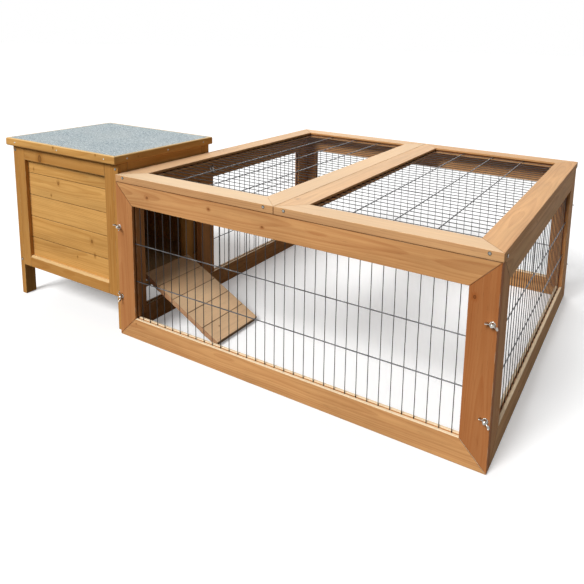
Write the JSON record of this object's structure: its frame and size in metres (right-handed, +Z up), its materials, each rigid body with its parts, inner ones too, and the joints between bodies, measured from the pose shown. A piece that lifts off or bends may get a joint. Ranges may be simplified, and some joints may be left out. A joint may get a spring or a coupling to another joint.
{
  "type": "small animal house",
  "caption": "Small animal house: a raised wooden hutch with a hinged felt roof, joined to a low wire run with hinged mesh lids and a hinged ramp at the doorway.",
  "frame": {"origin": "on the floor, under the middle of the whole object's bounding box", "axes": "+X along the front from the hutch to the run, +Y from the front to the back, +Z up"},
  "size_m": [1.5932, 1.0288, 0.5303],
  "materials": {
    "run_wood": "stained softwood, satin",
    "hutch_wood": "stained softwood, satin",
    "plywood": "bare plywood, matt",
    "felt": "mineral roofing felt, matt and speckled",
    "wire": "dark coated welded wire",
    "zinc": "zinc plated"
  },
  "bodies": {
    "house": {"back_mesh": "wire", "back_rails": "run_wood", "back_stiles": "run_wood", "clamp_bolts": "zinc", "front_bottom_rail": "run_wood", "front_left_stile": "run_wood", "front_mesh": "wire", "front_right_stile": "run_wood", "front_top_rail": "run_wood", "hinge_fixed_leaves": "zinc", "hinge_pins": "zinc", "hutch_back_frame": "hutch_wood", "hutch_back_planks": "hutch_wood", "hutch_doorway_jambs": "hutch_wood", "hutch_doorway_plank": "hutch_wood", "hutch_floor": "plywood", "hutch_floor_bearers": "hutch_wood", "hutch_front_frame": "hutch_wood", "hutch_front_planks": "hutch_wood", "hutch_left_planks": "hutch_wood", "hutch_left_rails": "hutch_wood", "hutch_post_back_left": "hutch_wood", "hutch_post_back_right": "hutch_wood", "hutch_post_front_left": "hutch_wood", "hutch_post_front_right": "hutch_wood", "hutch_right_rails": "hutch_wood", "hutch_screws": "zinc", "left_mesh": "wire", "left_mid_stile": "run_wood", "left_rails": "run_wood", "left_stiles": "run_wood", "right_mesh": "wire", "right_rails": "run_wood", "right_stiles": "run_wood", "wing_nuts": "zinc"},
    "roof": {"roof_back_trim": "hutch_wood", "roof_deck": "plywood", "roof_felt": "felt", "roof_front_trim": "hutch_wood", "roof_hinge_leaves": "zinc", "roof_left_trim": "hutch_wood", "roof_nails": "zinc", "roof_right_trim": "hutch_wood"},
    "left_lid": {"left_lid_back_rail": "run_wood", "left_lid_front_rail": "run_wood", "left_lid_hinge_leaves": "zinc", "left_lid_inner_rail": "run_wood", "left_lid_mesh": "wire", "left_lid_outer_rail": "run_wood", "left_lid_screws": "zinc"},
    "right_lid": {"right_lid_back_rail": "run_wood", "right_lid_front_rail": "run_wood", "right_lid_hinge_leaves": "zinc", "right_lid_inner_rail": "run_wood", "right_lid_mesh": "wire", "right_lid_outer_rail": "run_wood", "right_lid_screws": "zinc"},
    "ramp": {"ramp_battens": "run_wood", "ramp_hinge_leaves": "zinc", "ramp_planks": "run_wood"}
  },
  "joints": [
    {"name": "roof_hinge", "type": "hinge", "parent": "house", "child": "roof", "pos_m": [-0.5376, -0.1028, 0.5021], "axis": [-1, 0, 0], "range_deg": [0, 100]},
    {"name": "left_lid_hinge", "type": "hinge", "parent": "house", "child": "left_lid", "pos_m": [-0.0171, 0.5032, 0.46015], "axis": [-1, 0, 0], "range_deg": [0, 110]},
    {"name": "right_lid_hinge", "type": "hinge", "parent": "house", "child": "right_lid", "pos_m": [0.5249, 0.5032, 0.46015], "axis": [-1, 0, 0], "range_deg": [0, 110]},
    {"name": "ramp_hinge", "type": "hinge", "parent": "house", "child": "ramp", "pos_m": [-0.2904, -0.318, 0.142], "axis": [0, -1, 0], "range_deg": [0, 105]}
  ]
}
